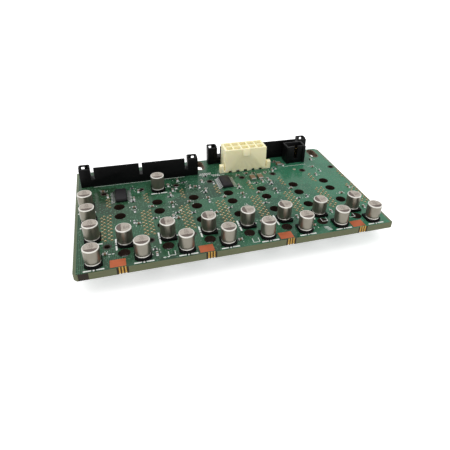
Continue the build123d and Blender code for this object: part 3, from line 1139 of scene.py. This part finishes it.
pin_tin = mottled_finish(
    "pin_tin", (0.62, 0.58, 0.46), (0.52, 0.48, 0.38), 1.0, 8.0, 0.004,
    {"Roughness": 0.6, "Metallic": 0.2},
)
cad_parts["power_pins"].material_slots[0].material = pin_tin

# Box header: a black shroud, open at the top, with a key slot in its front
# wall and eight gold pins inside.
header_moulding = softened("box_header", "header_shroud", 0.12, connector_black)
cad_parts["header_pins"].material_slots[0].material = contact_gold

# Driver chips: epoxy bodies moulded round a lead frame, with eight tinned
# leads down each side, each soldered to a pad.
chip_leads_per_side = 8
lead_pad_length = 1.5
lead_pad_width = 0.62
lead_pad_height = 0.10 * millimetre

chip_epoxy = mottled_finish(
    "chip_epoxy", (0.011, 0.010, 0.012), (0.019, 0.017, 0.019), 0.5, 8.0, 0.02,
    {"Roughness": 0.45, "Specular IOR Level": 0.16},
)
for side in ("left", "right"):
    chip = softened(f"{side}_chip_body", f"{side}_chip_moulding", 0.08, chip_epoxy)
    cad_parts[f"{side}_chip_leads"].material_slots[0].material = tin_plating

lead_pads = []
for side in ("left", "right"):
    low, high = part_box(f"{side}_chip_leads")
    middle_y = (low.y + high.y) / 2
    for edge_x in (low.x, high.x):
        for y in spread(middle_y, chip_leads_per_side, contact_pitch):
            half_length = lead_pad_length / 2 * millimetre
            half_width = lead_pad_width / 2 * millimetre
            lead_pads.append(
                add_block(
                    "lead_pad",
                    (edge_x - half_length, y - half_width, board_top),
                    (edge_x + half_length, y + half_width, board_top + lead_pad_height),
                )
            )
lead_pads = join_pieces("lead_pads", lead_pads)
round_corners(lead_pads, 0.04)
lead_pads.data.materials.append(tin_solder)
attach(lead_pads, "root")

# Ceramic capacitors: fired tan blocks with tinned ends, near the power
# connector.
ceramic_tan = mottled_finish(
    "ceramic_tan", (0.205, 0.130, 0.070), (0.140, 0.088, 0.048), 0.7, 7.0, 0.01,
    {"Roughness": 0.45},
)
ceramic_blocks = softened("ceramic_bodies", "ceramic_blocks", 0.06, ceramic_tan)
ceramic_caps = softened("ceramic_ends", "ceramic_end_caps", 0.1, tin_solder)

# Chip passives: small resistors and ceramic capacitors, each a block with two
# tinned ends, soldered flat to the board beside each bay's contacts.
passive_width = 0.85
passive_length = 1.7
passive_end = 0.42
passive_heights = {"tan": 0.75, "black": 0.45}
body_drop = 0.03
solder_reach = 0.35
solder_spread = 1.15
solder_slope = 0.9
bay_passives = (
    (-3.5, 14.3, 0, "tan"), (-3.7, 26.3, 1, "tan"), (-5.3, 28.2, 0, "black"),
    (-4.4, 36.6, 0, "black"), (-4.5, 39.4, 1, "tan"), (-4.5, 44.6, 1, "black"),
    (-3.9, 47.0, 0, "tan"), (3.6, 28.7, 1, "black"), (3.4, 38.2, 1, "tan"),
)
busy_bays = (1, 2, 3, 4, 5)
single_passives = (
    (11.6, 9.0, 1, "tan"), (30.6, 7.2, 1, "black"), (31.0, 4.3, 0, "tan"),
    (41.2, 28.3, 0, "tan"), (43.4, 30.6, 1, "black"), (44.4, 50.5, 0, "tan"),
    (46.4, 52.3, 0, "black"), (42.9, 55.3, 0, "tan"), (50.7, 56.5, 1, "black"),
    (53.2, 51.6, 0, "tan"), (55.6, 51.0, 1, "tan"), (57.6, 50.4, 0, "black"),
    (59.9, 55.6, 0, "tan"), (62.9, 60.4, 1, "black"), (48.2, 59.6, 0, "tan"),
    (65.0, 4.6, 1, "tan"), (84.3, 58.0, 1, "tan"), (88.2, 57.6, 1, "black"),
    (83.2, 49.0, 0, "tan"), (86.4, 47.5, 1, "black"), (90.2, 48.4, 0, "tan"),
    (93.6, 49.6, 0, "tan"), (94.6, 57.0, 1, "black"), (99.1, 58.2, 0, "tan"),
    (101.6, 60.2, 0, "black"), (103.6, 67.0, 1, "tan"), (107.0, 62.8, 0, "tan"),
    (99.1, 6.2, 1, "tan"), (111.7, 14.3, 0, "tan"), (106.5, 29.6, 0, "black"),
    (128.8, 14.3, 0, "tan"), (124.3, 28.0, 1, "tan"), (122.1, 56.8, 1, "tan"),
    (124.4, 52.0, 0, "black"), (120.3, 48.4, 0, "tan"), (125.3, 65.5, 0, "tan"),
    (131.0, 32.4, 0, "tan"), (12.2, 56.8, 1, "tan"), (25.6, 56.6, 1, "black"),
    (28.3, 53.2, 0, "tan"), (14.2, 52.0, 0, "tan"), (79.4, 56.8, 1, "tan"),
    (65.4, 52.6, 0, "black"),
)

resistor_black = mottled_finish(
    "resistor_black", (0.020, 0.020, 0.022), (0.040, 0.040, 0.042), 1.2, 8.0, 0.006,
    {"Roughness": 0.4, "Specular IOR Level": 0.3},
)


def add_passive(height, finish):
    """A passive along Y over the origin: a body, two tinned ends and the solder at its feet."""
    half_width = passive_width / 2 * millimetre
    foot_half_width = half_width * solder_spread
    half_length = passive_length / 2 * millimetre
    end = passive_end * millimetre
    reach = solder_reach * millimetre
    top = board_top + height * millimetre
    body = add_block(
        "passive_body",
        (-half_width, end - half_length, board_top),
        (half_width, half_length - end, top - body_drop * millimetre),
    )
    body.data.materials.append(finish)
    made = [body]
    for side in (-1, 1):
        inner, outer = side * (half_length - end), side * half_length
        cap = add_block("passive_end", (-half_width, inner, board_top), (half_width, outer, top))
        foot = add_block(
            "passive_foot",
            (-foot_half_width, inner, board_top),
            (foot_half_width, outer + side * reach, board_top + height * 0.5 * millimetre),
        )
        pick(
            foot,
            "VERT",
            lambda vertex: vertex.co.z > board_top + height * 0.25 * millimetre
            and vertex.co.y * side > half_length,
        )
        bpy.ops.transform.translate(value=(0, -side * solder_slope * reach, 0))
        bpy.ops.object.mode_set(mode="OBJECT")
        for tinned in (cap, foot):
            tinned.data.materials.append(tin_solder)
            made.append(tinned)
    passive = join_pieces("passive_model", made)
    round_corners(passive, 0.05)
    bpy.ops.object.shade_smooth_by_angle(angle=math.radians(40))
    return passive


passive_models = {
    kind: add_passive(passive_heights[kind], finish)
    for kind, finish in (("tan", ceramic_tan), ("black", resistor_black))
}
passive_spots = [
    (bay_inset(bay, offset), front, quarter, kind)
    for bay in busy_bays
    for offset, front, quarter, kind in bay_passives
]
passive_spots += single_passives
for kind, model in passive_models.items():
    placed = []
    for left, front, quarter, spot_kind in passive_spots:
        if spot_kind == kind:
            placed += copy_to(model, [on_board(left, front)], quarter * math.pi / 2)
    passives = join_pieces(f"{kind}_passives", placed)
    bpy.data.objects.remove(model)
    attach(passives, "root")

# Solder points and test pads: small round domes of solder in four short rows
# between the connectors, and flat round pads behind four bays' contacts.
dome_profile = ((0.44, 0.0), (0.43, 0.05), (0.34, 0.12), (0.16, 0.17))
test_pad_profile = ((0.82, 0.0), (0.82, 0.04), (0.76, 0.06))
dome_rows = ((60.4, 61.9, 6), (60.9, 63.1, 6), (66.6, 60.9, 4), (67.1, 59.7, 4))
dome_spacing = 1.05
dome_sides = 14
test_pad_sides = 28
test_pad_bays = (2, 3, 5, 6)
test_pad_offset = -3.8
test_pad_front = 56.6

dome = turned_piece("dome_model", dome_profile, board_top, dome_sides)
dome_places = [
    on_board(left + step * dome_spacing, front)
    for left, front, count in dome_rows
    for step in range(count)
]
solder_points = repeated("solder_points", dome, dome_places)
solder_points.data.materials.append(tin_solder)
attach(solder_points, "root")

test_pad = turned_piece("test_pad_model", test_pad_profile, board_top, test_pad_sides)
test_pad_places = [
    on_board(bay_inset(bay, test_pad_offset), test_pad_front) for bay in test_pad_bays
]
test_pads = repeated("test_pads", test_pad, test_pad_places)
dull_tin = mottled_finish(
    "dull_tin", (0.50, 0.45, 0.33), (0.36, 0.33, 0.24), 0.9, 7.0, 0.004,
    {"Roughness": 0.45, "Metallic": 0.4},
)
test_pads.data.materials.append(dull_tin)
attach(test_pads, "root")

# Silkscreen: white ink marks printed on the mask, two bars in front of each
# capacitor's terminal, lines at the connectors' feet, outlines, and small
# ticks beside the passives. No letters are printed.
ink_height = 0.02 * millimetre
bar_width = 0.72
bar_length = 2.9
bar_gap = 0.85
bar_standoff = 3.6
outline_width = 0.22
printed_lines = (
    (7.9, 62.35, 44.5, 0.16), (69.0, 59.9, 4.0, 0.2), (106.5, 60.9, 13.5, 0.18),
    (12.9, 8.6, 0.9, 0.35), (14.2, 8.6, 0.9, 0.35), (33.0, 1.4, 1.1, 0.4),
    (34.6, 1.4, 0.9, 0.4), (102.9, 3.9, 2.2, 0.25), (103.2, 3.1, 2.2, 0.25),
    (103.5, 2.3, 2.2, 0.25), (103.8, 1.5, 2.2, 0.25), (45.0, 32.2, 0.8, 0.5),
    (85.6, 31.6, 0.8, 0.5),
)
u_outlines = ((36.6, 3.5), (71.2, 2.9), (105.6, 9.4), (119.4, 9.4))
u_outline_side = 2.6
tick_seed = 7
ticks_per_passive = 3
tick_reach = (1.5, 2.3)
tick_lengths = (0.35, 0.8)
tick_width = 0.2
screen_ink = mottled_finish(
    "screen_ink", (0.88, 0.90, 0.86), (0.76, 0.80, 0.75), 2.0, 6.0, 0.005, {"Roughness": 0.55}
)


def add_bar(x, y, width, depth):
    """A printed bar from its middle place, with its width and depth in millimetres."""
    half = Vector((width / 2 * millimetre, depth / 2 * millimetre, 0))
    middle = Vector((x, y, board_top))
    return add_block("bar", middle - half, middle + half + Vector((0, 0, ink_height)))


bars = []
for group, (_, turn) in can_groups.items():
    for x, y in can_places[group]:
        for side in (-1, 1):
            along = side * (bar_gap + bar_length / 2) * millimetre
            away = -bar_standoff * millimetre
            if turn:
                bars.append(add_bar(x + away, y + along, bar_width, bar_length))
            else:
                bars.append(add_bar(x + along, y + away, bar_length, bar_width))
for left, front, width, depth in printed_lines:
    x, y = on_board(left + width / 2, front + depth / 2)
    bars.append(add_bar(x, y, width, depth))
for left, front in u_outlines:
    x, y = on_board(left, front)
    half = u_outline_side / 2
    for side in (-1, 1):
        bars.append(add_bar(x + side * half * millimetre, y, outline_width, u_outline_side))
    bars.append(add_bar(x, y - half * millimetre, u_outline_side + outline_width, outline_width))
scatter = random.Random(tick_seed)
for left, front, _, _ in passive_spots:
    for tick in range(ticks_per_passive):
        reach = scatter.uniform(*tick_reach)
        turn = scatter.uniform(0, 2 * math.pi)
        x, y = on_board(left + reach * math.cos(turn), front + reach * math.sin(turn))
        long_side = scatter.uniform(*tick_lengths)
        width, depth = (long_side, tick_width) if tick % 2 else (tick_width, long_side)
        bars.append(add_bar(x, y, width, depth))
silkscreen = join_pieces("silkscreen", bars)
silkscreen.data.materials.append(screen_ink)
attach(silkscreen, "root")
